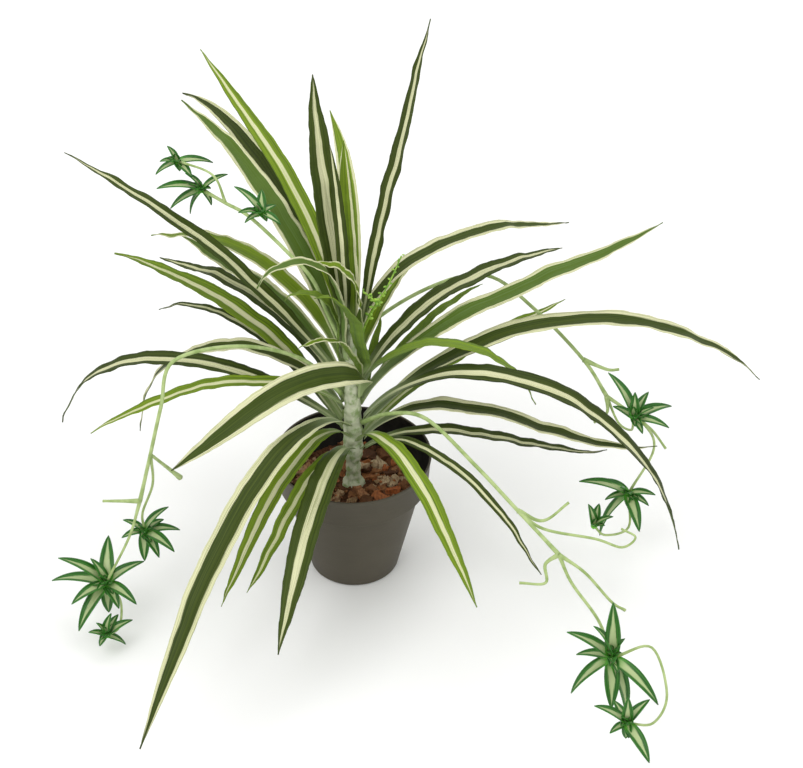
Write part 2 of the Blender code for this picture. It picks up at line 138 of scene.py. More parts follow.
def new_material(name, roughness, sheen=0.3):
    """A material and its tree, with its roughness and how strongly it mirrors set on the shader."""
    material = bpy.data.materials.new(name)
    material.use_nodes = True
    shader = material.node_tree.nodes["Principled BSDF"]
    shader.inputs["Roughness"].default_value = roughness
    shader.inputs["Specular IOR Level"].default_value = sheen
    return material, material.node_tree, shader


def add_bump(tree, shader, height, distance, strength=0.5):
    bump = add_node(tree, "ShaderNodeBump", {"Strength": strength, "Distance": distance, "Height": height})
    tree.links.new(bump.outputs[0], shader.inputs["Normal"])


def object_place(tree):
    return add_node(tree, "ShaderNodeTexCoord").outputs["Object"]


def stretched(tree, place, scale):
    """The place scaled differently along each axis, so that a pattern runs in streaks."""
    return add_node(tree, "ShaderNodeMapping", {"Vector": place, "Scale": scale}).outputs[0]


def arc(centre, radius, start, end, steps=6):
    """Points of a round corner, from one angle to another in degrees."""
    points = []
    for step in range(steps + 1):
        angle = math.radians(start + (end - start) * step / steps)
        points.append((centre[0] + radius * math.cos(angle), centre[1] + radius * math.sin(angle)))
    return points


def clean_mesh(data):
    """Doubles merged, normals outward, shaded smooth."""
    mesh = bmesh.new()
    mesh.from_mesh(data)
    bmesh.ops.remove_doubles(mesh, verts=mesh.verts, dist=1e-6)
    bmesh.ops.recalc_face_normals(mesh, faces=mesh.faces)
    mesh.to_mesh(data)
    mesh.free()
    for face in data.polygons:
        face.use_smooth = True


def evaluated_mesh(thing):
    """The mesh that an object's modifiers make, and the object removed."""
    made = bpy.data.meshes.new_from_object(thing.evaluated_get(bpy.context.evaluated_depsgraph_get()))
    bpy.data.objects.remove(thing)
    return made


def new_piece(name, data):
    made = bpy.data.objects.new(name, data)
    bpy.context.scene.collection.objects.link(made)
    return made


def turned(name, profile, steps):
    """A solid of revolution from (radius, height) points in mm."""
    data = bpy.data.meshes.new(name)
    edges = [(i, i + 1) for i in range(len(profile) - 1)]
    data.from_pydata([(r * MM, 0, z * MM) for r, z in profile], edges, [])
    outline = new_piece(name, data)
    screw = outline.modifiers.new("turn", "SCREW")
    screw.steps = steps
    screw.render_steps = steps
    screw.use_merge_vertices = True
    screw.merge_threshold = 0.00005
    data = evaluated_mesh(outline)
    clean_mesh(data)
    return new_piece(name, data)


collar_radius, collar_height = COLLAR_BOTTOM
body_slope = (SHOULDER_RADIUS - BASE_RADIUS) / collar_height
pot_profile = [
    *arc((RIM_RADIUS - LIP_ROLL, POT_HEIGHT - LIP_ROLL), LIP_ROLL, 90, -8),
    (RIM_RADIUS - 0.5, POT_HEIGHT - 3.0),
    (RIM_RADIUS - 0.7, POT_HEIGHT - 3.6),
    (collar_radius + 0.1, collar_height + 2.0),
    *arc((collar_radius - 0.7, collar_height + 0.7), 0.7, 0, -90),
    *arc((SHOULDER_RADIUS + 1.2, collar_height - 1.2), 1.2, 90, 180),
    (SHOULDER_RADIUS - body_slope * 6, collar_height - 8),
    (BASE_RADIUS + 0.9, 4.0),
    *arc((BASE_RADIUS - 1.6, 2.0), 2.0, 0, -90),
    (BASE_RADIUS - 4, 0),
    (0, 0),
    (0, 3),
    (BASE_RADIUS - WALL + 0.7, 3),
    (SHOULDER_RADIUS - WALL, collar_height - 1),
    (collar_radius - WALL, collar_height + 1.5),
    *arc((RIM_RADIUS - LIP_ROLL, POT_HEIGHT - LIP_ROLL), LIP_ROLL, 188, 90),
]
pot = turned("pot_shell", pot_profile, POT_STEPS)
pot_plastic, tree, shader = new_material("pot_plastic", 0.55, 0.2)
place = object_place(tree)
cloud = noise(tree, place, 14.0, 3.0)
grain = noise(tree, place, 1800.0, 2.0)
streak = noise(tree, stretched(tree, place, (60, 60, 900)), 1.0)
tone = mix_colour(tree, cloud.ramp(0.35, 0.75), POT_TAUPE, POT_WORN)
tone = mix_colour(tree, streak.ramp(0.4, 0.8) * 0.35, tone, POT_WORN)
link(tree, tone, shader.inputs["Base Color"])
add_bump(tree, shader, grain + streak * 0.6, 0.00012, 0.5)
pot.data.materials.append(pot_plastic)
# The inside of the pot is painted shade: a near-black material for the inner wall, where the pot's own shadow
# falls, with a faint speckle and bump.
pot_inside_painted_shade, tree, shader = new_material("pot_inside_painted_shade", 0.7, 0.1)
shade_speckle = noise(tree, object_place(tree), 90.0, 3.0)
link(tree, mix_colour(tree, shade_speckle.ramp(0.4, 0.8), POT_SHADE, POT_SHADE_SPECKLE), shader.inputs["Base Color"])
add_bump(tree, shader, shade_speckle, 0.0002)
pot.data.materials.append(pot_inside_painted_shade)
# Faces that look towards the axis, below the lip, take the painted shade material.
for face in pot.data.polygons:
    looks_inward = face.normal.xy.dot(face.center.xy) < 0
    if looks_inward and face.center.z < (POT_HEIGHT - 2 * LIP_ROLL) * MM:
        face.material_index = 1
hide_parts("pot")
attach(pot, "root")

# ---- Ballast ---------------------------------------------------------------------------------------------
# Cement cast into the lower half of the pot, which keeps the top-heavy plant upright. The stalk is set in it
# and the bark hides it.
CEMENT_DARK = (0.22, 0.21, 0.19)
CEMENT_LIGHT = (0.42, 0.41, 0.38)

cement, tree, shader = new_material("ballast_cement", 0.9)
place = object_place(tree)
speck = noise(tree, place, 400.0, 4.0)
link(tree, mix_colour(tree, speck, CEMENT_DARK, CEMENT_LIGHT), shader.inputs["Base Color"])
add_bump(tree, shader, speck, 0.0006)
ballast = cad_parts["ballast"]
ballast.data.materials.clear()
ballast.data.materials.append(cement)

# ---- Bark ------------------------------------------------------------------------------------------------
# Loose chips of pine bark in three sizes, orange-brown to rust with a few pale fibrous ones. They lie on the
# ballast over fine dark crumbs, up to the wall and round the stalk.
BARK_RADIUS = 54.0
BARK_HOLE = 11.5
BARK_FLOOR = 77.5
# Small, medium and large chips: the least and the greatest length, and how far apart they lie, in mm.
CHIP_SIZES = ((2.6, 4.5, 3.6), (6.0, 10.0, 7.5), (11.0, 18.0, 12.0))
CHIP_SHAPE = (1.0, 0.62, 0.26)
CHIP_TIP = 0.42
BARK_SEED = 7
CRUMB_GRID = 130
CRUMB_DARK = (0.018, 0.008, 0.004)
CRUMB_RUST = (0.15, 0.055, 0.018)
CHIP_FIBRE = (0.10, 0.035, 0.012)


def input_sockets(tree, sockets):
    """A node tree's named inputs, in order, and its one output. Returns the group input node."""
    for name, kind in sockets:
        tree.interface.new_socket(name=name, in_out="INPUT", socket_type=kind)
    tree.interface.new_socket(name="Geometry", in_out="OUTPUT", socket_type="NodeSocketGeometry")
    return tree.nodes.new("NodeGroupInput")


def split(tree, vector):
    made = add_node(tree, "ShaderNodeSeparateXYZ", {0: vector})
    return [Field(tree, socket) for socket in made.outputs]


def join_xyz(tree, x, y, z):
    return add_node(tree, "ShaderNodeCombineXYZ", {0: x, 1: y, 2: z}).outputs[0]


def vectors(tree, operation, *values):
    made = add_node(tree, "ShaderNodeVectorMath", operation=operation)
    sockets = [socket for socket in made.inputs if socket.enabled]
    for value, socket in zip(values, sockets):
        link(tree, value, socket)
    return [socket for socket in made.outputs if socket.enabled][0]


def random_value(tree, kind, low, high, seed):
    made = add_node(tree, "FunctionNodeRandomValue", data_type=kind)
    sockets = [socket for socket in made.inputs if socket.enabled]
    for value, socket in zip((low, high), sockets):
        link(tree, value, socket)
    link(tree, seed, made.inputs["Seed"])
    return [socket for socket in made.outputs if socket.enabled][0]


def store(tree, geometry, name, kind, domain, value):
    made = add_node(tree, "GeometryNodeStoreNamedAttribute", {"Geometry": geometry, "Name": name},
                    data_type=kind, domain=domain)
    link(tree, value, [socket for socket in made.inputs if socket.enabled and socket.name == "Value"][0])
    return made.outputs[0]


def built_by_nodes(name, tree, values):
    """The mesh that a node tree makes. Each value goes to the input of that name, by its identifier."""
    blank = new_piece(name, bpy.data.meshes.new(name))
    modifier = blank.modifiers.new("nodes", "NODES")
    modifier.node_group = tree
    for item in tree.interface.items_tree:
        if item.in_out == "INPUT" and item.name in values:
            modifier[item.identifier] = values[item.name]
    return blank


def bark_tree():
    """Crumbs on a disc and, over them, chips of three sizes turned and tipped at random."""
    tree = bpy.data.node_groups.new("bark_bed", "GeometryNodeTree")
    given = input_sockets(tree, [
        ("Radius", "NodeSocketFloat"), ("Hole", "NodeSocketFloat"), ("Floor", "NodeSocketFloat"),
        ("Seed", "NodeSocketInt"), ("Crumbs", "NodeSocketMaterial"), ("Chips", "NodeSocketMaterial")]).outputs
    radius = Field(tree, given["Radius"])
    disc = add_node(tree, "GeometryNodeMeshGrid", {
        "Size X": radius * 2.0, "Size Y": radius * 2.0,
        "Vertices X": CRUMB_GRID, "Vertices Y": CRUMB_GRID}).outputs["Mesh"]
    position = add_node(tree, "GeometryNodeInputPosition").outputs[0]
    x, y, _ = split(tree, position)
    away = Field(tree, vectors(tree, "LENGTH", join_xyz(tree, x, y, 0.0)))
    outside = away.use("GREATER_THAN", radius)
    disc = add_node(tree, "GeometryNodeDeleteGeometry", {"Geometry": disc, "Selection": outside}).outputs[0]
    crumb = noise(tree, position, 260.0, 4.0, 0.7) * 0.005 + noise(tree, position, 40.0) * 0.004
    lifted = join_xyz(tree, 0.0, 0.0, crumb + given["Floor"])
    disc = add_node(tree, "GeometryNodeSetPosition", {"Geometry": disc, "Offset": lifted}).outputs[0]
    disc = add_node(tree, "GeometryNodeSetMaterial", {
        "Geometry": disc, "Material": given["Crumbs"]}).outputs[0]
    parts = []
    for number, (least, most, spacing) in enumerate(CHIP_SIZES):
        seed = Field(tree, given["Seed"]) + 10.0 * number
        scatter = add_node(tree, "GeometryNodeDistributePointsOnFaces", {
            "Mesh": disc, "Distance Min": spacing * MM, "Density Max": 90000.0},
            distribute_method="POISSON")
        link(tree, seed, scatter.inputs["Seed"])
        points = scatter.outputs["Points"]
        near = away.use("LESS_THAN", Field(tree, given["Hole"]) + least * 0.4 * MM)
        far = away.use("GREATER_THAN", radius - most * 0.4 * MM)
        points = add_node(tree, "GeometryNodeDeleteGeometry", {
            "Geometry": points, "Selection": near.use("MAXIMUM", far)}, domain="POINT").outputs[0]
        lift = random_value(tree, "FLOAT", 0.0005, 0.003 + 0.0004 * number, seed)
        points = add_node(tree, "GeometryNodeSetPosition", {
            "Geometry": points, "Offset": join_xyz(tree, 0.0, 0.0, lift)}).outputs[0]
        chip = add_node(tree, "GeometryNodeMeshCube", {
            "Size": CHIP_SHAPE, "Vertices X": 4, "Vertices Y": 3, "Vertices Z": 2}).outputs["Mesh"]
        tip = random_value(tree, "FLOAT_VECTOR", (-CHIP_TIP, -CHIP_TIP, 0.0), (CHIP_TIP, CHIP_TIP, 6.28),
                           seed + 1.0)
        stretch = random_value(tree, "FLOAT_VECTOR", (least * MM, least * MM, least * 0.7 * MM),
                               (most * MM, most * 0.9 * MM, most * 0.8 * MM), seed + 2.0)
        placed = add_node(tree, "GeometryNodeInstanceOnPoints", {
            "Points": points, "Instance": chip, "Rotation": tip, "Scale": stretch}).outputs[0]
        tone = random_value(tree, "FLOAT", 0.0, 1.0, seed + 3.0)
        parts.append(store(tree, placed, "tone", "FLOAT", "INSTANCE", tone))
    chips = add_node(tree, "GeometryNodeJoinGeometry")
    for part in parts:
        tree.links.new(part, chips.inputs[0])
    chips = add_node(tree, "GeometryNodeRealizeInstances", {0: chips.outputs[0]}).outputs[0]
    roughen = add_node(tree, "ShaderNodeTexNoise", {
        "Vector": position, "Scale": 190.0, "Detail": 2.0}).outputs[1]
    shift = vectors(tree, "SCALE", vectors(tree, "SUBTRACT", roughen, (0.5, 0.5, 0.5)), 0.0075)
    chips = add_node(tree, "GeometryNodeSetPosition", {"Geometry": chips, "Offset": shift}).outputs[0]
    chips = add_node(tree, "GeometryNodeSetMaterial", {
        "Geometry": chips, "Material": given["Chips"]}).outputs[0]
    whole = add_node(tree, "GeometryNodeJoinGeometry")
    tree.links.new(disc, whole.inputs[0])
    tree.links.new(chips, whole.inputs[0])
    tree.links.new(whole.outputs[0], tree.nodes.new("NodeGroupOutput").inputs[0])
    return tree


def colour_ramp(tree, share, stops):
    made = add_node(tree, "ShaderNodeValToRGB", {0: share})
    ramp = made.color_ramp
    while len(ramp.elements) < len(stops):
        ramp.elements.new(0.5)
    for element, (where, colour) in zip(ramp.elements, stops):
        element.position = where
        element.color = (*colour, 1.0)
    return made.outputs[0]


crumbs, tree, shader = new_material("bark_crumbs", 0.95)
crumb_grain = noise(tree, object_place(tree), 500.0, 4.0)
link(tree, mix_colour(tree, crumb_grain, CRUMB_DARK, CRUMB_RUST), shader.inputs["Base Color"])
add_bump(tree, shader, crumb_grain, 0.001)

chip_bark, tree, shader = new_material("bark_chips", 0.78)
place = object_place(tree)
tone = Field(tree, add_node(tree, "ShaderNodeAttribute", attribute_name="tone").outputs["Fac"])
fibre = noise(tree, stretched(tree, place, (900, 260, 260)), 1.0, 4.0, 0.65)
chip_colour = colour_ramp(tree, tone, [
    (0.0, (0.05, 0.020, 0.008)), (0.2, (0.15, 0.060, 0.022)), (0.42, (0.30, 0.13, 0.045)),
    (0.60, (0.38, 0.10, 0.022)), (0.80, (0.36, 0.22, 0.11)), (1.0, (0.52, 0.40, 0.25))])
chip_colour = mix_colour(tree, fibre.ramp(0.35, 0.7) * 0.75, chip_colour, CHIP_FIBRE)
link(tree, chip_colour, shader.inputs["Base Color"])
add_bump(tree, shader, fibre, 0.0006, 0.7)

bark = built_by_nodes("bark_bed_chips", bark_tree(), {
    "Radius": BARK_RADIUS * MM, "Hole": BARK_HOLE * MM, "Floor": BARK_FLOOR * MM, "Seed": BARK_SEED,
    "Crumbs": crumbs, "Chips": chip_bark})
bark = new_piece("bark_chips", evaluated_mesh(bark))
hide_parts("bark_bed")
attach(bark, "root")

# ---- Stalk -----------------------------------------------------------------------------------------------
# A tapering core moulded in pale green plastic, with rings and knobs where leaves would have dropped. The
# ribbon leaves are plugged into it one above another, and its foot is set in the ballast.
STALK_FOOT = 36.0
STALK_TOP = 242.0
STALK_TAPER_FROM = 80.0
STALK_LOW_RADIUS = 10.5
STALK_TAPER = 5.5 / 160
STALK_WAIST_RADIUS = 6.8
STALK_WAIST_LOW = (84.0, 89.0)
STALK_WAIST_HIGH = (106.0, 117.0)
KNOB = 0.9
RING = 0.3
SKIN_INSET = 1.4
STALK_PALE = (0.58, 0.61, 0.44)
STALK_GREEN = (0.28, 0.38, 0.16)


def stalk_radius(height):
    return STALK_LOW_RADIUS - STALK_TAPER * (height - STALK_TAPER_FROM)


def stalk_tree():
    """A closed tapering post, swollen in rings and knobbed all over."""
    tree = bpy.data.node_groups.new("stalk", "GeometryNodeTree")
    given = input_sockets(tree, [
        ("Foot", "NodeSocketFloat"), ("Top", "NodeSocketFloat"), ("Low Radius", "NodeSocketFloat"),
        ("Taper From", "NodeSocketFloat"), ("Taper", "NodeSocketFloat"), ("Waist", "NodeSocketFloat"),
        ("Material", "NodeSocketMaterial")]).outputs
    post = add_node(tree, "GeometryNodeMeshCylinder", {
        "Vertices": 64, "Side Segments": 170, "Fill Segments": 4,
        "Radius": 1.0, "Depth": 1.0}).outputs["Mesh"]
    x, y, z = split(tree, add_node(tree, "GeometryNodeInputPosition").outputs[0])
    foot = Field(tree, given["Foot"])
    height = foot + (z + 0.5) * (Field(tree, given["Top"]) - foot)
    radius = Field(tree, given["Low Radius"]) - (height - given["Taper From"]) * given["Taper"]
    low, high = [[end * MM for end in ends] for ends in (STALK_WAIST_LOW, STALK_WAIST_HIGH)]
    waist = height.ramp(*low) * (1.0 - height.ramp(*high))
    radius = radius + waist * (Field(tree, given["Waist"]) - radius)
    around = join_xyz(tree, x * 0.012, y * 0.012, height)
    knobs = add_node(tree, "ShaderNodeTexVoronoi", {"Vector": around, "Scale": 210.0}, feature="SMOOTH_F1")
    knob = 1.0 - Field(tree, knobs.outputs["Distance"]).ramp(0.1, 0.75)
    rings = (height * 620.0 + noise(tree, around, 60.0) * 5.0).use("SINE")
    radius = radius + knob * (KNOB * MM) + rings * (RING * MM) - SKIN_INSET * MM
    placed = join_xyz(tree, x * radius, y * radius, height)
    post = add_node(tree, "GeometryNodeSetPosition", {"Geometry": post, "Position": placed}).outputs[0]
    post = add_node(tree, "GeometryNodeSetShadeSmooth", {"Geometry": post}).outputs[0]
    post = add_node(tree, "GeometryNodeRealizeInstances", {0: post}).outputs[0]
    post = add_node(tree, "GeometryNodeSetMaterial", {
        "Geometry": post, "Material": given["Material"]}).outputs[0]
    tree.links.new(post, tree.nodes.new("NodeGroupOutput").inputs[0])
    return tree


stalk_plastic, tree, shader = new_material("stalk_plastic", 0.5)
place = object_place(tree)
patch = noise(tree, place, 160.0, 4.0, 0.6)
link(tree, mix_colour(tree, patch.ramp(0.42, 0.68), STALK_PALE, STALK_GREEN), shader.inputs["Base Color"])
add_bump(tree, shader, noise(tree, place, 900.0), 0.0003)
stalk = new_piece("stalk_post", evaluated_mesh(built_by_nodes("stalk_post_nodes", stalk_tree(), {
    "Foot": STALK_FOOT * MM, "Top": STALK_TOP * MM, "Low Radius": STALK_LOW_RADIUS * MM,
    "Taper From": STALK_TAPER_FROM * MM, "Taper": STALK_TAPER, "Waist": STALK_WAIST_RADIUS * MM,
    "Material": stalk_plastic})))
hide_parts("stalk")
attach(stalk, "root")

# ---- Leaves ----------------------------------------------------------------------------------------------
# Long ribbons cut from printed film: green with cream stripes along the middle or the margins. Each is
# creased slightly, arches from the stalk under its own weight, and has fine veins and uneven edges.
LEAF_LOWEST = 120.0
LEAF_HIGHEST = 236.0
LEAF_CROWDING = 1.15
LEAF_GAP = 0.8
LEAF_WIDEST_AT = 0.42
LEAF_SWELLS_OVER = 0.36
LEAF_BASE_SHARE = 0.45
LEAF_TAPER_POWER = 2.6
ROLL_OVER = 0.25
SWING_OVER = 0.3
LEAF_FOLD = 0.12
LEAF_TIP_SHARE = 0.03
NICK_DEPTH = 0.14
RIPPLE_SHARE = 0.30
TWIST_RANGE = 16
TONE_STEP = 0.618
LEAF_STEPS = 96
LEAF_ACROSS = 10
LEAF_THICKNESS = 0.5
DRIFT = 9.0
LEAF_DARK = (0.054, 0.076, 0.010)
LEAF_DEEP = (0.022, 0.036, 0.005)
LEAF_LIME = (0.200, 0.300, 0.014)
LEAF_MOSS = (0.075, 0.130, 0.010)
LEAF_GREY = (0.100, 0.165, 0.040)
LEAF_CREAM = (0.54, 0.56, 0.30)
LEAF_IVORY = (0.68, 0.67, 0.44)
LEAF_PALE_FOOT = (0.34, 0.43, 0.20)

# From the lowest leaf up: azimuth, length, the angles above level at the base, halfway and at the tip, the
# turn towards the tip, the swing at the base, the width, the roll and the print. Degrees and mm.
LEAVES = [
    (0, 210, 40, -15, 0, 10, 0, 14, 0, "dark, cream middle"),
    (240, 170, 45, -25, -20, 0, 0, 14, 0, "lime, cream middle"),
    (320, 220, 55, -15, -50, 0, 0, 10, 0, "dark, cream middle"),
    (255, 230, 45, -20, -40, 0, 0, 22, 0, "dark, cream middle"),
    (35, 220, 40, 10, 5, 0, 0, 14, 0, "lime, cream middle"),
    (0, 260, 60, -20, 10, 0, 0, 18, 0, "dark, cream margins"),
    (300, 220, 60, -20, -40, 0, 0, 16, 0, "lime, cream middle"),
    (145, 220, 50, 15, -40, 0, 0, 10, 0, "dark, cream middle"),
    (240, 220, 55, -20, -40, 0, 0, 16, 0, "lime, cream middle"),
    (10, 390, 55, 0, -50, 0, 0, 22, 0, "dark, cream margins"),
    (175, 290, 40, 0, -80, -10, 0, 18, 0, "dark, cream middle"),
    (150, 250, 55, 20, -5, 0, 0, 20, 0, "lime, cream middle"),
    (240, 370, 50, -25, -40, 5, 0, 22, 0, "dark, cream margins"),
    (350, 370, 60, -25, -80, 0, 0, 22, 0, "dark, cream middle"),
    (60, 80, 60, 60, 70, 0, 0, 8, 0, "plain"),
    (165, 260, 65, -20, -90, 0, 0, 16, 0, "dark, cream margins"),
    (40, 150, 50, 25, 0, 0, 0, 8, 0, "plain"),
    (135, 240, 55, 5, -15, 5, 0, 16, 0, "dark, cream middle"),
    (190, 220, 45, -5, -30, 0, 0, 14, 0, "lime, cream middle"),
    (20, 290, 55, 15, 25, 0, 0, 20, 0, "grey, cream margins"),
    (135, 220, 60, 10, 0, 0, 0, 18, 0, "grey, cream margins"),
    (210, 220, 80, -10, -20, 0, 130, 22, -40, "dark, cream margins"),
    (35, 230, 65, 10, -10, 0, 0, 18, 0, "dark, cream middle"),
    (0, 190, 75, -10, -70, 0, 0, 12, 0, "plain"),
    (155, 300, 50, 30, 10, -5, 0, 16, 0, "dark, cream middle"),
    (235, 120, 80, 50, 0, -10, 80, 10, 0, "lime, cream margins"),
    (120, 300, 60, 35, -10, 15, 0, 20, 0, "dark, cream margins"),
    (235, 130, 60, 70, 20, -20, 110, 14, 0, "plain"),
    (140, 250, 70, 5, -30, 0, 0, 16, 0, "lime, cream margins"),
    (185, 110, 65, 75, -80, -20, 0, 10, 0, "plain"),
    (55, 150, 65, 20, -35, 10, 0, 14, 0, "lime, cream margins"),
    (90, 250, 65, 20, 10, 15, 0, 16, 0, "lime, cream margins"),
    (135, 250, 65, 45, 20, 10, 0, 22, 0, "grey, cream margins"),
    (205, 160, 80, 65, -70, -5, 20, 14, 0, "grey, cream margins"),
    (120, 290, 80, 30, 30, 10, 0, 16, 0, "lime, cream middle"),
    (30, 240, 80, 5, -15, 0, 30, 16, 0, "dark, cream margins"),
    (35, 280, 80, 75, 75, 0, 0, 16, 0, "dark, cream middle"),
    (115, 220, 75, 70, 90, 0, 0, 22, 0, "dark, cream middle"),
    (105, 160, 80, 70, 75, -20, -20, 14, 0, "lime, cream margins"),
    (105, 160, 85, 75, 60, 5, 15, 10, 0, "dark, cream middle"),
    (180, 90, 80, 75, -30, 0, 165, 14, 0, "lime, cream margins"),
]

# Each print: the blade's two greens, where its stripe lies from the middle (0) to the edge (1), and its slot.
PRINTS = {
    "dark, cream middle": (LEAF_DARK, LEAF_DEEP, (-1.0, 0.30), "leaf_cream_centre"),
    "dark, cream margins": (LEAF_DARK, LEAF_DEEP, (0.62, 2.0), "leaf_cream_margin"),
    "lime, cream middle": (LEAF_LIME, LEAF_MOSS, (-1.0, 0.26), "leaf_bright"),
    "lime, cream margins": (LEAF_LIME, LEAF_MOSS, (0.74, 2.0), "leaf_bright"),
    "grey, cream margins": (LEAF_GREY, LEAF_MOSS, (0.72, 2.0), "leaf_cream_margin"),
    "plain": (LEAF_GREY, LEAF_LIME, (3.0, 4.0), "leaf_bright"),
}


def leaf_film(name, blade, deep, stripe, underside):
    """Printed film: a striped face with long veins, or the same print showing through its pale back."""
    film, tree, shader = new_material(name, 0.48, 0.14)
    across, along, _ = split(tree, add_node(tree, "ShaderNodeUVMap", uv_map="UVMap").outputs[0])
    tone = Field(tree, add_node(tree, "ShaderNodeAttribute", attribute_name="tone").outputs["Fac"])
    from_middle = (across - 0.5).use("ABSOLUTE") * 2.0
    veins = noise(tree, join_xyz(tree, across * 34.0, along * 1.6, tone * 40.0), 1.0, 3.0, 0.6)
    hairs = noise(tree, join_xyz(tree, across * 85.0, along * 3.0, tone * 90.0), 1.0, 2.0)
    wander = noise(tree, join_xyz(tree, across * 2.0, along * 7.0, tone * 30.0), 1.0, 2.0) - 0.5
    edge = from_middle + wander * 0.22 + (veins - 0.5) * 0.30
    low, high = stripe
    in_stripe = edge.ramp(low - 0.03, low + 0.03) * (1.0 - edge.ramp(high - 0.03, high + 0.03))
    # The stripe narrows to nothing at the tip and is broken by hairlines near its border.
    in_stripe = in_stripe * (1.0 - along.ramp(0.93, 1.0))
    green = mix_colour(tree, veins.ramp(0.36, 0.64), deep, blade)
    green = mix_colour(tree, hairs.ramp(0.60, 0.72) * 0.22, green, LEAF_GREY)
    green = mix_colour(tree, tone.ramp(0.0, 1.0, False) * 0.15, green, LEAF_MOSS)
    cream = mix_colour(tree, veins.ramp(0.3, 0.7), LEAF_CREAM, LEAF_IVORY)
    cream = mix_colour(tree, hairs.ramp(0.56, 0.66) * 0.75, cream, blade)
    colour = mix_colour(tree, in_stripe, green, cream)
    if underside:
        colour = mix_colour(tree, 0.45, colour, LEAF_GREY)
    foot = 1.0 - along.ramp(0.02, 0.20)
    colour = mix_colour(tree, foot * 0.75, colour, LEAF_PALE_FOOT)
    link(tree, colour, shader.inputs["Base Color"])
    add_bump(tree, shader, veins * 0.6 + hairs * 0.4, 0.0005, 0.45)
    return film


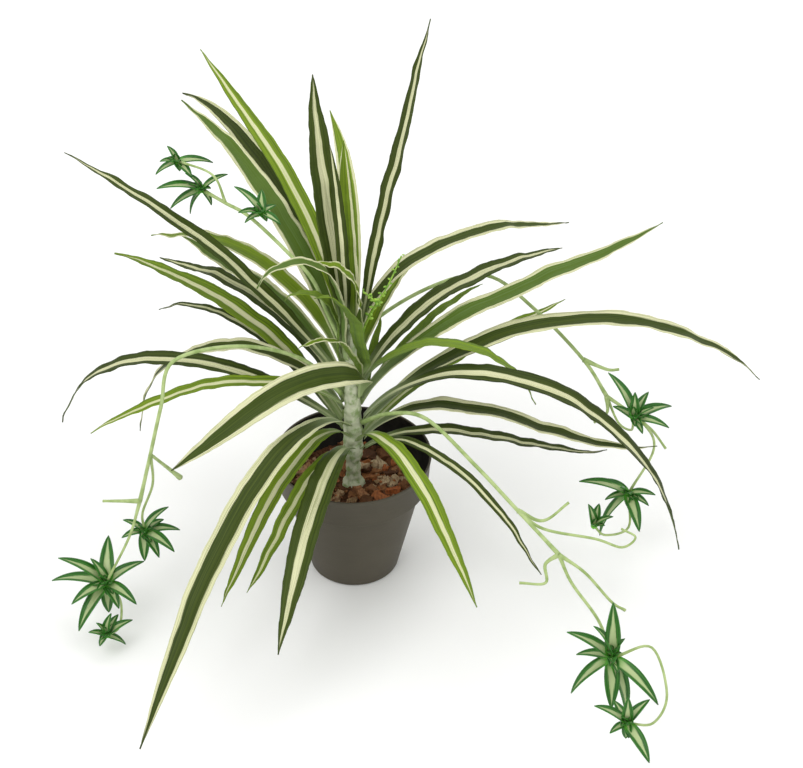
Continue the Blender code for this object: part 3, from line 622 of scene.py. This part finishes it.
def leaf_tree():
    """A grid bent into a ribbon: its length follows three angles and a turn, its sides a width that swells
    and then tapers to a point."""
    tree = bpy.data.node_groups.new("ribbon_leaf", "GeometryNodeTree")
    numbers = ["Azimuth", "Length", "Rise", "Middle", "Tip", "Turn", "Swing", "Width", "Roll", "Height",
               "Start Radius", "Twist", "Ripple", "Tone"]
    given = input_sockets(tree, [(name, "NodeSocketFloat") for name in numbers]
                          + [("Material", "NodeSocketMaterial")]).outputs
    value = {name: Field(tree, given[name]) for name in numbers}
    grid = add_node(tree, "GeometryNodeMeshGrid", {
        "Size X": 1.0, "Size Y": 1.0, "Vertices X": LEAF_ACROSS + 1,
        "Vertices Y": LEAF_STEPS + 1}).outputs["Mesh"]
    x, y, _ = split(tree, add_node(tree, "GeometryNodeInputPosition").outputs[0])
    across = x * 2.0
    along = y + 0.5

    def heading(t):
        near = (1.0 - t / SWING_OVER).use("MAXIMUM", 0.0)
        return (value["Azimuth"] + value["Turn"] * t * t + value["Swing"] * near * near).use("RADIANS")

    def direction(t):
        left = 1.0 - t
        climb = value["Rise"] * left * (left - t) + value["Middle"] * 4.0 * t * left
        climb = (climb + value["Tip"] * t * (t - left)).use("RADIANS")
        level = climb.use("COSINE")
        turn = heading(t)
        return join_xyz(tree, level * turn.use("COSINE"), level * turn.use("SINE"), climb.use("SINE"))

    step = vectors(tree, "SCALE", direction(along + 0.5 / LEAF_STEPS), value["Length"] / LEAF_STEPS)
    total = add_node(tree, "GeometryNodeAccumulateField", data_type="FLOAT_VECTOR", domain="POINT")
    link(tree, step, [socket for socket in total.inputs if socket.enabled][0])
    column = ((x + 0.5) * LEAF_ACROSS).use("ROUND")
    link(tree, column, [socket for socket in total.inputs if socket.enabled][-1])
    run = total.outputs["Trailing"]
    foot_angle = (value["Azimuth"] + value["Swing"]).use("RADIANS")
    start = join_xyz(tree, value["Start Radius"] * foot_angle.use("COSINE"),
                     value["Start Radius"] * foot_angle.use("SINE"), value["Height"])
    turn = heading(along)
    side = join_xyz(tree, turn.use("SINE") * -1.0, turn.use("COSINE"), 0.0)
    up = vectors(tree, "CROSS_PRODUCT", direction(along), side)
    wobble = noise(tree, join_xyz(tree, along * 5.0, value["Tone"] * 50.0, 0.0), 1.0) - 0.5
    rolled = value["Roll"] * (along / ROLL_OVER).use("MINIMUM", 1.0)
    lean = (rolled + value["Twist"] * along * along).use("RADIANS") + wobble * 0.3 * along
    leant_side = vectors(tree, "ADD", vectors(tree, "SCALE", side, lean.use("COSINE")),
                         vectors(tree, "SCALE", up, lean.use("SINE")))
    leant_up = vectors(tree, "SUBTRACT", vectors(tree, "SCALE", up, lean.use("COSINE")),
                       vectors(tree, "SCALE", side, lean.use("SINE")))
    swell = (along / LEAF_SWELLS_OVER).use("MINIMUM", 1.0)
    fall = ((along - LEAF_WIDEST_AT) / (1 - LEAF_WIDEST_AT)).use("MAXIMUM", 0.0)
    grown = (swell * swell * (3.0 - swell * 2.0)) * (1 - LEAF_BASE_SHARE) + LEAF_BASE_SHARE
    width = value["Width"] * grown.use("MINIMUM", (1.0 - fall ** LEAF_TAPER_POWER).use(
        "MAXIMUM", LEAF_TIP_SHARE))
    edge_share = across.use("ABSOLUTE")
    nick_place = join_xyz(tree, along * 46.0, across.use("SIGN") * 3.0, value["Tone"] * 70.0)
    nick = noise(tree, nick_place, 1.0, 3.0) - 0.5
    width = width * (1.0 + nick * edge_share * NICK_DEPTH)
    fold = width * LEAF_FOLD * ((across * across + 0.02).use("SQRT") - 0.5)
    sway = noise(tree, join_xyz(tree, along * 15.0, across * 0.9, value["Tone"] * 90.0), 1.0) - 0.5
    drift = noise(tree, join_xyz(tree, along * 6.0, value["Tone"] * 110.0, 1.0), 1.0) - 0.5
    lift = fold + (sway * value["Ripple"] * edge_share + drift * DRIFT * MM) * along.ramp(0.05, 0.3)
    place = vectors(tree, "ADD", vectors(tree, "ADD", start, run), vectors(tree, "ADD", vectors(
        tree, "SCALE", leant_side, width * across * 0.5), vectors(tree, "SCALE", leant_up, lift)))
    ribbon = store(tree, grid, "UVMap", "FLOAT2", "CORNER", join_xyz(tree, x + 0.5, along, 0.0))
    ribbon = store(tree, ribbon, "tone", "FLOAT", "POINT", value["Tone"])
    ribbon = add_node(tree, "GeometryNodeSetPosition", {"Geometry": ribbon, "Position": place}).outputs[0]
    ribbon = add_node(tree, "GeometryNodeFlipFaces", {"Mesh": ribbon}).outputs[0]
    ribbon = add_node(tree, "GeometryNodeSetShadeSmooth", {"Geometry": ribbon}).outputs[0]
    ribbon = add_node(tree, "GeometryNodeRealizeInstances", {0: ribbon}).outputs[0]
    ribbon = add_node(tree, "GeometryNodeSetMaterial", {
        "Geometry": ribbon, "Material": given["Material"]}).outputs[0]
    tree.links.new(ribbon, tree.nodes.new("NodeGroupOutput").inputs[0])
    return tree


films = {}
for print_name, (blade, deep, stripe, slot_name) in PRINTS.items():
    plain_name = print_name.replace(", ", "_").replace(" ", "_")
    films[print_name] = [leaf_film(f"leaf_{plain_name}_{face}", blade, deep, stripe, face == "back")
                         for face in ("front", "back")]
ribbon_leaf = leaf_tree()
for number, (*shape, print_name) in enumerate(LEAVES):
    azimuth, length, rise, middle, tip, turn, swing, width, roll = shape
    height = LEAF_LOWEST + (LEAF_HIGHEST - LEAF_LOWEST) * (number / (len(LEAVES) - 1)) ** LEAF_CROWDING
    tone = (number * TONE_STEP) % 1.0
    values = {"Azimuth": azimuth, "Length": length * MM, "Rise": rise, "Middle": middle, "Tip": tip,
              "Turn": turn, "Swing": swing, "Width": width * MM, "Roll": roll, "Height": height * MM,
              "Start Radius": (stalk_radius(height) + LEAF_GAP) * MM,
              "Twist": TWIST_RANGE * (tone - 0.5), "Ripple": RIPPLE_SHARE * width * MM, "Tone": tone}
    values = {name: float(value) for name, value in values.items()}
    values["Material"] = films[print_name][0]
    name = f"leaf_{number + 1:02d}"
    flat = built_by_nodes(name + "_flat", ribbon_leaf, values)
    flat = new_piece(name + "_ribbon", evaluated_mesh(flat))
    flat.data.materials.append(films[print_name][1])
    film = flat.modifiers.new("film", "SOLIDIFY")
    film.thickness = LEAF_THICKNESS * MM
    film.offset = 0
    film.material_offset = 1
    piece = new_piece(name + "_film", evaluated_mesh(flat))
    for face in piece.data.polygons:
        face.use_smooth = True
    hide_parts(name)
    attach(piece, "root")

# ---- Runners ---------------------------------------------------------------------------------------------
# Thin wires in pale yellow-green plastic that grow from the stalk between the leaves. They fork at swollen
# joints into stems for the plantlets, blunt bracts and curled ends, and they hold their bends.
ROUTE_STEPS = 8
FIT_GAP = 0.4
PLANTLET_CORE = 2.6
STEM_GAP = 0.6
RUNNER_REACH = 18
STEM_RADIUS = 1.0
JOINT_SWELL = 0.35
END_SWELL = 0.25
RUNNER_PALE = (0.40, 0.50, 0.21)
RUNNER_GREEN = (0.25, 0.35, 0.11)

# The height at which each leaves the stalk, then its branches: the radius at the start, the radius at the end
# and the points it passes, in mm.
RUNNERS = {
    "runner_left": (175, [
        (1.6, 1.5, [(-40, 0, 210), (-90, -10, 230), (-140, -30, 230), (-150, -50, 200), (-160, -60, 160),
                    (-170, -70, 120)]),
        (1.2, 1.0, [(-170, -70, 120), (-180, -80, 90), (-200, -100, 60)]),
        (1.1, 1.0, [(-160, -60, 160), (-160, -60, 130), (-170, -60, 100), (-170, -60, 90)]),
        (1.0, 2.0, [(-160, -60, 160), (-150, -50, 140), (-140, -40, 120)]),
        (1.6, 0.9, [(-170, -70, 120), (-190, -70, 120), (-200, -70, 120)]),
    ]),
    "runner_front": (150, [
        (1.7, 1.5, [(30, -20, 170), (60, -40, 180), (100, -90, 170), (130, -130, 160), (160, -170, 150)]),
        (1.3, 1.2, [(160, -170, 150), (170, -180, 130), (190, -200, 110), (200, -210, 90)]),
        (1.3, 1.0, [(160, -170, 150), (180, -180, 140), (200, -190, 120), (210, -200, 120)]),
        (1.6, 0.9, [(130, -130, 160), (150, -130, 150), (170, -120, 160)]),
        (1.3, 0.8, [(130, -130, 160), (150, -140, 150), (190, -140, 140), (210, -150, 140), (220, -150, 150),
                    (210, -140, 150)]),
        (1.6, 0.9, [(160, -170, 150), (150, -170, 140), (150, -180, 130), (130, -180, 130)]),
    ]),
    "runner_right": (190, [
        (1.6, 1.5, [(10, 40, 210), (60, 70, 230), (110, 90, 230), (150, 70, 210), (190, 40, 180),
                    (210, 30, 150)]),
        (1.2, 1.0, [(210, 30, 150), (240, 20, 130), (250, 10, 110), (240, 10, 80)]),
        (1.0, 1.0, [(210, 30, 150), (220, 20, 130), (230, 10, 130), (230, 10, 140)]),
        (1.7, 1.0, [(190, 40, 180), (210, 40, 170), (220, 40, 170)]),
        (1.6, 0.9, [(210, 30, 150), (210, 20, 140), (200, 20, 130)]),
        (1.4, 0.9, [(240, 20, 130), (250, 20, 120), (260, 10, 110)]),
    ]),
    "runner_back_left": (220, [
        (1.6, 1.4, [(-20, 10, 250), (-30, 10, 280), (-50, 20, 300), (-80, 40, 320), (-100, 60, 320),
                    (-110, 70, 320)]),
        (1.0, 0.9, [(-100, 60, 320), (-110, 70, 340), (-130, 80, 350)]),
        (1.4, 1.0, [(-80, 40, 320), (-80, 30, 320)]),
    ]),
}

# Plantlets, which the runners end at: the centre, each leaflet's hour on a clock face and its length, and
# any stem.
FACE_TILT = 35
LEANS = (15, -20, 30, -5, 25, -30, 5)
PLANTLETS = {
    "plantlet_left_high": ((-170, -60, 80), [
        (1.5, 30), (3, 30), (4, 35), (6, 25), (8.5, 20), (2, 20), (5, 25), (10, 20)], []),
    "plantlet_left_low": ((-200, -90, 50), [
        (10, 45), (9, 50), (8, 35), (2, 35), (5, 25), (6, 30), (7, 45), (11, 25), (12, 40), (4, 35)], []),
    "plantlet_left_end": ((-200, -120, 20), [
        (12.5, 20), (1, 20), (11, 15), (2, 25), (9.5, 15), (4, 20), (7, 10)],
        [(-200, -90, 50), (-200, -80, 40), (-190, -90, 30), (-190, -110, 20)]),
    "plantlet_front_high": ((200, -220, 90), [
        (12, 45), (7.5, 45), (11, 35), (6, 40), (1, 20), (9, 30), (10, 40), (4.5, 50), (5.5, 50)], []),
    "plantlet_front_low": ((210, -260, 60), [
        (10, 30), (11, 20), (12, 25), (1.5, 25), (5, 35), (6, 15), (8, 15)],
        [(200, -220, 90), (230, -220, 100), (240, -250, 80), (230, -260, 60)]),
    "plantlet_right_high": ((230, 0, 150), [
        (11, 45), (10, 20), (12, 25), (1, 25), (2, 20), (2.5, 40), (3.5, 30), (5, 15)], []),
    "plantlet_right_low": ((230, 0, 70), [
        (9.5, 45), (10, 25), (3, 25), (8.5, 20), (5.5, 35), (7, 50), (4, 20)], []),
    "plantlet_back_near": ((-120, 80, 320), [(2, 25), (5, 15), (9, 40), (8, 30), (10.5, 20), (7, 25)], []),
    "plantlet_back_far": ((-140, 90, 340), [(11, 15), (3, 30), (9, 15), (8, 20), (4.5, 20)], []),
    "plantlet_back_side": ((-70, 30, 330), [(10.5, 30), (12, 20), (9, 20), (8, 15), (4, 20), (2, 15)], []),
}
DAUGHTERS = {
    "plantlet_right_low": ((200, -30, 60), [(11.5, 20), (0.5, 20), (2, 20)],
                           [(230, 0, 70), (230, -20, 50), (210, -30, 50)]),
}


def smooth_route(points):
    """More points along a smooth curve (Catmull-Rom) that passes through the given ones."""
    given = [Vector(point) for point in points]
    padded = [given[0] * 2 - given[1], *given, given[-1] * 2 - given[-2]]
    route = []
    for before, start, end, after in zip(padded, padded[1:], padded[2:], padded[3:]):
        for step in range(ROUTE_STEPS):
            t = step / ROUTE_STEPS
            bend = (before * 2 - start * 5 + end * 4 - after) * t * t
            twist = (start * 3 - before - end * 3 + after) * t ** 3
            route.append((start * 2 + (end - before) * t + bend + twist) / 2)
    return [*route, given[-1]]


def just_outside(point, centre):
    away = (Vector(point) - Vector(centre)).normalized()
    return Vector(centre) + away * (PLANTLET_CORE + STEM_GAP)


def at_stalk(height, towards, radius):
    """The point just clear of the stalk where a wire of this radius starts."""
    run = math.hypot(towards[0], towards[1])
    rise = towards[2] - height
    steepness = abs(rise) / math.hypot(rise, run - stalk_radius(height))
    reach = (stalk_radius(height) + FIT_GAP + radius * steepness) / run
    return Vector((towards[0] * reach, towards[1] * reach, height))


def wires(name, branches):
    """Round wires as one mesh. A branch is its radii and its smooth points; its joint end is swollen."""
    curve = bpy.data.curves.new(name, "CURVE")
    curve.dimensions = "3D"
    curve.bevel_depth = MM
    curve.bevel_resolution = 5
    curve.use_fill_caps = True
    for start_radius, end_radius, route in branches:
        line = curve.splines.new("POLY")
        line.points.add(len(route) - 1)
        for i, point in enumerate(route):
            share = i / (len(route) - 1)
            joint = JOINT_SWELL * math.exp(-(i / 3.0) ** 2)
            swelling = joint + END_SWELL * math.exp(-((len(route) - 1 - i) / 2.0) ** 2)
            line.points[i].co = (*(point * MM), 1)
            line.points[i].radius = (start_radius + share * (end_radius - start_radius)) * (1 + swelling)
    data = evaluated_mesh(new_piece(name, curve))
    clean_mesh(data)
    return data


runner_plastic, tree, shader = new_material("runner_plastic", 0.45)
place = object_place(tree)
mottle = noise(tree, place, 120.0, 3.0)
link(tree, mix_colour(tree, mottle.ramp(0.35, 0.7), RUNNER_PALE, RUNNER_GREEN), shader.inputs["Base Color"])
add_bump(tree, shader, noise(tree, place, 1400.0), 0.0002)

plantlet_centres = [values[0] for values in PLANTLETS.values()]
for name, (height, branches) in RUNNERS.items():
    routes = []
    for start_radius, end_radius, points in branches:
        for centre in plantlet_centres:
            if (Vector(points[-1]) - Vector(centre)).length < RUNNER_REACH:
                points = [*points[:-1], just_outside(points[-1], centre)]
        if not routes:
            points = [at_stalk(height, points[0], start_radius), *points]
        routes.append((start_radius, end_radius, smooth_route(points)))
    piece = new_piece(name + "_wires", wires(name + "_wires", routes))
    piece.data.materials.append(runner_plastic)
    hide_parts(name)
    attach(piece, "root")

# ---- Plantlets -------------------------------------------------------------------------------------------
# Small rosettes moulded in glossy plastic: pointed leaflets, deep green with a cream streak from the base,
# round a bright green heart. Each is pushed onto the end of a runner or hangs from another by a stem.
LEAFLET_BOW = 0.1
LEAFLET_WIDEST = 12.0
LEAFLET_NARROWEST = 3.8
LEAFLET_WIDTH_PER_LENGTH = 0.20
INNER_TURN = 0.8
INNER_LEAN = 62
INNER_LENGTH = 7
INNER_SHARE = 0.16
HEART_KNOB = 0.18
HEART_RATE = 4000
LEAFLET_ROWS = 14
LEAFLET_COLUMNS = 6
LEAFLET_THICKNESS = 0.9
PLANTLET_GREEN = (0.032, 0.165, 0.014)
PLANTLET_DEEP = (0.012, 0.080, 0.006)
PLANTLET_HEART = (0.10, 0.40, 0.03)
PLANTLET_CREAM = (0.48, 0.57, 0.28)
HEART_LIGHT = (0.22, 0.52, 0.06)


def clock_direction(hour, lean):
    tilt = math.radians(FACE_TILT)
    face_up = Vector((0, math.sin(tilt), math.cos(tilt)))
    face_out = Vector((0, -math.cos(tilt), math.sin(tilt)))
    angle = math.radians(hour * 30)
    on_face = Vector((1, 0, 0)) * math.sin(angle) + face_up * math.cos(angle)
    return on_face * math.cos(math.radians(lean)) + face_out * math.sin(math.radians(lean))


def add_leaflet(mesh, uv, centre, along, length):
    """A pointed strip, channelled along the middle, as a sheet of faces."""
    side = along.cross(Vector((0, 0, 1))).normalized()
    up = side.cross(along).normalized()
    width = min(LEAFLET_WIDEST, LEAFLET_NARROWEST + LEAFLET_WIDTH_PER_LENGTH * length)
    rows = []
    for row in range(LEAFLET_ROWS + 1):
        t = row / LEAFLET_ROWS
        outline = max(0.02, math.sin(math.pi * min(1, 0.12 + 0.88 * t) ** 0.8) ** 0.75)
        bow = 4 * LEAFLET_BOW * length * t * (1 - t)
        middle = Vector(centre) + along * (length * t) + up * bow
        verts = []
        for column in range(LEAFLET_COLUMNS + 1):
            across = 2 * column / LEAFLET_COLUMNS - 1
            half = width * outline / 2
            channel = 0.45 * half * (abs(across) ** 1.5 - 0.5)
            verts.append(mesh.verts.new((middle + side * (half * across) + up * channel) * MM))
        rows.append(verts)
    for row in range(LEAFLET_ROWS):
        for column in range(LEAFLET_COLUMNS):
            corners = [(row, column), (row, column + 1), (row + 1, column + 1), (row + 1, column)]
            face = mesh.faces.new([rows[r][c] for r, c in corners])
            for loop, (r, c) in zip(face.loops, corners):
                loop[uv].uv = (c / LEAFLET_COLUMNS, r / LEAFLET_ROWS)


leaflet_plastic, tree, shader = new_material("plantlet_plastic", 0.3)
across, along, _ = split(tree, add_node(tree, "ShaderNodeUVMap", uv_map="UVMap").outputs[0])
place = object_place(tree)
from_middle = (across - 0.5).use("ABSOLUTE") * 2.0
mottle = noise(tree, place, 260.0, 3.0)
lines = noise(tree, join_xyz(tree, across * 22.0, along * 1.5, mottle), 1.0, 2.0)
streak_width = 0.74 - along * 0.62
in_streak = (streak_width - from_middle + (lines - 0.5) * 0.5).ramp(-0.06, 0.12)
in_streak = in_streak * (1.0 - along.ramp(0.75, 1.0))
green = mix_colour(tree, lines.ramp(0.35, 0.65), PLANTLET_DEEP, PLANTLET_GREEN)
colour = mix_colour(tree, in_streak * 0.8, green, PLANTLET_CREAM)
colour = mix_colour(tree, (1.0 - along.ramp(0.02, 0.28)) * 0.9, colour, PLANTLET_HEART)
link(tree, colour, shader.inputs["Base Color"])
add_bump(tree, shader, lines, 0.0005, 0.5)

heart_plastic, tree, shader = new_material("plantlet_heart_plastic", 0.4)
bud = noise(tree, object_place(tree), 500.0, 2.0)
link(tree, mix_colour(tree, bud, PLANTLET_HEART, HEART_LIGHT), shader.inputs["Base Color"])
add_bump(tree, shader, bud, 0.0004)


def rosette_parts(name, centre, leaflets):
    """The leaflets as a thickened sheet, with short ones between, and the heart as a knobbed ball."""
    mesh = bmesh.new()
    uv = mesh.loops.layers.uv.new("UVMap")
    for i, (hour, length) in enumerate(leaflets):
        lean = LEANS[i % len(LEANS)]
        add_leaflet(mesh, uv, centre, clock_direction(hour, lean), length)
        add_leaflet(mesh, uv, centre, clock_direction(hour + INNER_TURN, INNER_LEAN - lean),
                    INNER_LENGTH + length * INNER_SHARE)
    data = bpy.data.meshes.new(name + "_leaflets")
    mesh.to_mesh(data)
    mesh.free()
    data.materials.append(leaflet_plastic)
    sheet = new_piece(name + "_sheet", data)
    solid = sheet.modifiers.new("thickness", "SOLIDIFY")
    solid.thickness = LEAFLET_THICKNESS * MM
    solid.offset = 0
    leaflets_mesh = evaluated_mesh(sheet)
    heart = bpy.data.meshes.new(name + "_heart")
    mesh = bmesh.new()
    bmesh.ops.create_icosphere(mesh, subdivisions=3, radius=PLANTLET_CORE * MM)
    for vert in mesh.verts:
        x, y, z = (value * HEART_RATE for value in vert.co)
        bumps = 1 + HEART_KNOB * math.sin(x) * math.sin(y + 1) * math.cos(z)
        vert.co = vert.co * bumps + Vector(centre) * MM
    mesh.to_mesh(heart)
    mesh.free()
    heart.materials.append(heart_plastic)
    return [leaflets_mesh, heart]


def joined(name, meshes):
    """One piece from several meshes, each keeping its material."""
    parts = [new_piece(f"{name}_part", data) for data in meshes]
    bpy.ops.object.select_all(action="DESELECT")
    for part in parts:
        part.select_set(True)
    bpy.context.view_layer.objects.active = parts[0]
    bpy.ops.object.join()
    parts[0].name = name
    parts[0].data.name = name
    for face in parts[0].data.polygons:
        face.use_smooth = True
    return parts[0]


for name, (centre, leaflets, stem) in PLANTLETS.items():
    meshes = rosette_parts(name, centre, leaflets)
    stems = []
    if stem:
        route = smooth_route([just_outside(stem[1], stem[0]), *stem[1:], centre])
        stems.append((STEM_RADIUS, STEM_RADIUS, route))
    if name in DAUGHTERS:
        small, small_leaflets, small_stem = DAUGHTERS[name]
        meshes += rosette_parts(name + "_daughter", small, small_leaflets)
        route = smooth_route([*small_stem, small])
        stems.append((STEM_RADIUS, STEM_RADIUS, route))
    if stems:
        data = wires(name + "_stem", stems)
        data.materials.append(runner_plastic)
        meshes.append(data)
    piece = joined(name + "_rosette", meshes)
    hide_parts(name)
    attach(piece, "root")

# ---- Flower sprigs ---------------------------------------------------------------------------------------
# A forked pick moulded in bright green plastic, stuck in beside the stalk. Rows of small buds run up each
# branch and curl over at its tip.
SPRIG_HEIGHT = 215
SPRIG_BRANCHES = [
    [(10, 0, 240), (20, -10, 270), (30, -10, 290), (40, 0, 310)],
    [(20, -10, 270), (20, -20, 280), (10, -20, 290)],
]
SPRIG_RADIUS = 1.1
SPRIG_END_RADIUS = 0.5
BUD_TURN = 2.4
BUD_SIZE = 1.5
BUD_SPREAD = 2.6
BUD_LIGHT = (0.30, 0.48, 0.06)
BUD_DARK = (0.14, 0.30, 0.03)

sprig_plastic, tree, shader = new_material("sprig_plastic", 0.45)
dapple = noise(tree, object_place(tree), 300.0, 3.0)
link(tree, mix_colour(tree, dapple.ramp(0.35, 0.65), BUD_DARK, BUD_LIGHT), shader.inputs["Base Color"])
add_bump(tree, shader, dapple, 0.0004)
foot = at_stalk(SPRIG_HEIGHT, SPRIG_BRANCHES[0][0], SPRIG_RADIUS)
sprig_routes = [smooth_route([foot, *SPRIG_BRANCHES[0]]), smooth_route(SPRIG_BRANCHES[1])]
sprig_stems = wires("sprig_stems", [(SPRIG_RADIUS, SPRIG_END_RADIUS, route) for route in sprig_routes])
sprig_stems.materials.append(sprig_plastic)
mesh = bmesh.new()
for route in sprig_routes:
    buds = route[len(route) // 3:]
    for i, point in enumerate(buds):
        angle = i * BUD_TURN
        shrink = 1.0 - 0.5 * i / len(buds)
        out = Vector((math.cos(angle), math.sin(angle), 0.5)) * (BUD_SPREAD * shrink)
        turn = Matrix.Rotation(angle, 4, "Z")
        place = Matrix.Translation((point + out) * MM) @ turn @ Matrix.Diagonal((1.5, 0.8, 0.8, 1))
        bmesh.ops.create_icosphere(mesh, subdivisions=2, radius=BUD_SIZE * shrink * MM, matrix=place)
buds = bpy.data.meshes.new("sprig_buds")
mesh.to_mesh(buds)
mesh.free()
buds.materials.append(sprig_plastic)
sprigs = joined("flower_sprigs_buds", [sprig_stems, buds])
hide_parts("flower_sprigs")
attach(sprigs, "root")

# ---- Floor, lights and camera ----------------------------------------------------------------------------
# A plain pale floor under soft studio light, seen from the front and from above.
FLOOR_SIZE = 12.0
FLOOR_DROP = 0.5
FLOOR_WHITE = (0.90, 0.90, 0.89, 1.0)
SKY_WHITE = (1.0, 1.0, 1.0, 1.0)
SKY_STRENGTH = 0.85
CAMERA_PLACE = (0.040, -1.565, 1.360)
CAMERA_DOWN = 36.9
CAMERA_FOCAL = 108.3
CAMERA_SENSOR = 36.0

floor_mesh = bpy.data.meshes.new("floor")
mesh = bmesh.new()
bmesh.ops.create_grid(mesh, x_segments=1, y_segments=1, size=FLOOR_SIZE / 2)
bmesh.ops.translate(mesh, verts=mesh.verts, vec=(0, 0, -FLOOR_DROP * MM))
mesh.to_mesh(floor_mesh)
mesh.free()
floor = new_piece("floor", floor_mesh)
floor_paint, tree, shader = new_material("floor_paint", 0.9)
shader.inputs["Base Color"].default_value = FLOOR_WHITE
floor.data.materials.append(floor_paint)


def add_area(name, place, size, power):
    """A soft square light that faces the plant."""
    light = bpy.data.lights.new(name, "AREA")
    light.energy = power
    light.size = size
    lamp = bpy.data.objects.new(name, light)
    lamp.location = place
    lamp.rotation_euler = (Vector((0, 0, 0.2)) - Vector(place)).to_track_quat("-Z", "Y").to_euler()
    bpy.context.scene.collection.objects.link(lamp)


add_area("key", (-1.2, -1.6, 2.6), 1.8, 34)
add_area("fill", (2.0, -1.2, 1.6), 2.0, 12)
add_area("top", (0.2, 0.8, 3.0), 2.5, 22)
world = bpy.data.worlds.new("studio")
world.use_nodes = True
sky = world.node_tree.nodes["Background"]
sky.inputs["Color"].default_value = SKY_WHITE
sky.inputs["Strength"].default_value = SKY_STRENGTH
bpy.context.scene.world = world
bpy.context.scene.view_settings.view_transform = "Standard"

lens = bpy.data.cameras.new("view")
lens.lens = CAMERA_FOCAL
lens.sensor_width = CAMERA_SENSOR
camera = bpy.data.objects.new("view", lens)
camera.location = CAMERA_PLACE
camera.rotation_euler = (math.radians(90 - CAMERA_DOWN), 0, 0)
bpy.context.scene.collection.objects.link(camera)
bpy.context.scene.camera = camera
